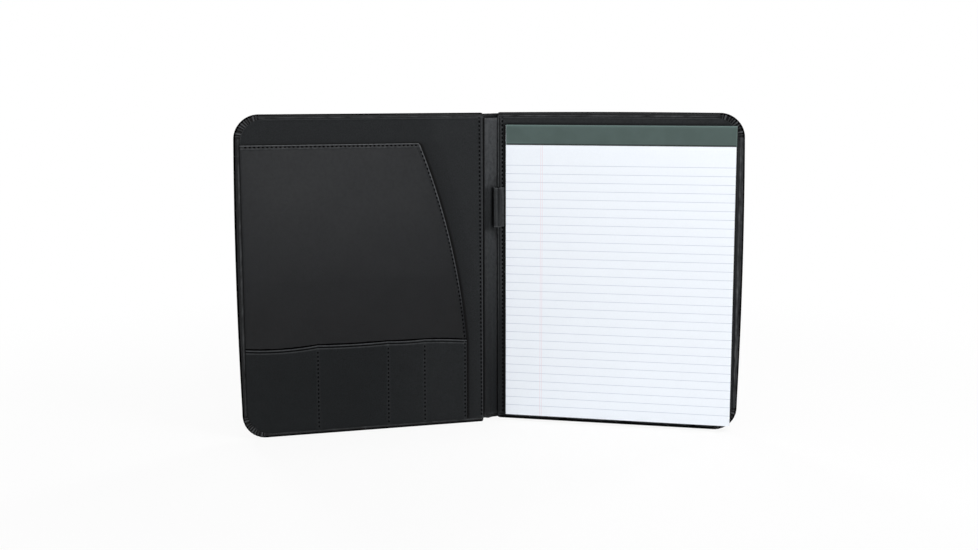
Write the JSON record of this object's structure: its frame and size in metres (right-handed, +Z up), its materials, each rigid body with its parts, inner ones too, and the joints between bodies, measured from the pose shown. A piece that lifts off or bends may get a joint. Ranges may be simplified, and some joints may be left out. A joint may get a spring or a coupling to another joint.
{
  "type": "padfolio",
  "caption": "Open leatherette padfolio standing on its lower edges, with a slanted document pocket, card pockets, a pen loop and a ruled letter-size writing pad.",
  "frame": {"origin": "middle of the open folio's footprint, on the floor that it stands on", "axes": "+Z up along the spine, +X to the reader's right, -Y towards the reader who looks at the lined inside"},
  "size_m": [0.461, 0.0846, 0.297],
  "materials": {
    "leatherette": "fine pebble grain, satin",
    "lining": "smooth leatherette, satin",
    "board": "grey board, matte",
    "padding": "thin foam, matte",
    "paper": "ruled writing paper, matte",
    "binding": "dark green binding tape, satin",
    "backing": "grey chipboard, matte"
  },
  "bodies": {
    "spine": {"spine_skin": "leatherette", "spine_stiffener": "board", "spine_lining": "lining", "front_crease": "leatherette", "back_crease": "leatherette"},
    "front_cover": {"front_skin": "leatherette", "front_padding": "padding", "front_board": "board", "front_infill": "board", "front_lining": "lining", "document_pocket": "lining", "card_pocket_strip": "lining"},
    "back_cover": {"back_skin": "leatherette", "back_padding": "padding", "back_board": "board", "back_infill": "board", "back_lining": "lining", "pad_pocket": "lining", "pen_loop_tab": "lining"},
    "pen_loop": {"pen_loop": "lining"},
    "pad": {"pad_backing": "backing", "pad_sheets": "paper", "pad_binding": "binding"},
    "top_sheet": {"top_sheet": "paper"}
  },
  "joints": [
    {"name": "front_fold", "type": "hinge", "parent": "spine", "child": "front_cover", "pos_m": [-0.00795, 0.02641, 0.1485], "axis": [0, 0, 1], "range_deg": [-11, 124], "deforming": ["front_crease"]},
    {"name": "back_fold", "type": "hinge", "parent": "spine", "child": "back_cover", "pos_m": [0.00491, 0.04173, 0.1485], "axis": [0, 0, -1], "range_deg": [-63, 27], "deforming": ["back_crease"]},
    {"name": "loop_swing", "type": "hinge", "parent": "back_cover", "child": "pen_loop", "pos_m": [0.00687, 0.03599, 0.20725], "axis": [0, 0, 1], "range_deg": [-63, 27]},
    {"name": "pad_slide", "type": "slide", "parent": "back_cover", "child": "pad", "axis": [0, 0, 1], "range_m": [0, 0.12]},
    {"name": "sheet_turn", "type": "hinge", "parent": "pad", "child": "top_sheet", "pos_m": [0.11742, 0.00472, 0.2663], "axis": [-0.9744, 0.225, 0], "range_deg": [0, 178]}
  ],
  "couplings": [
    {"joint": "loop_swing", "follows": "back_fold", "ratio": 1}
  ]
}
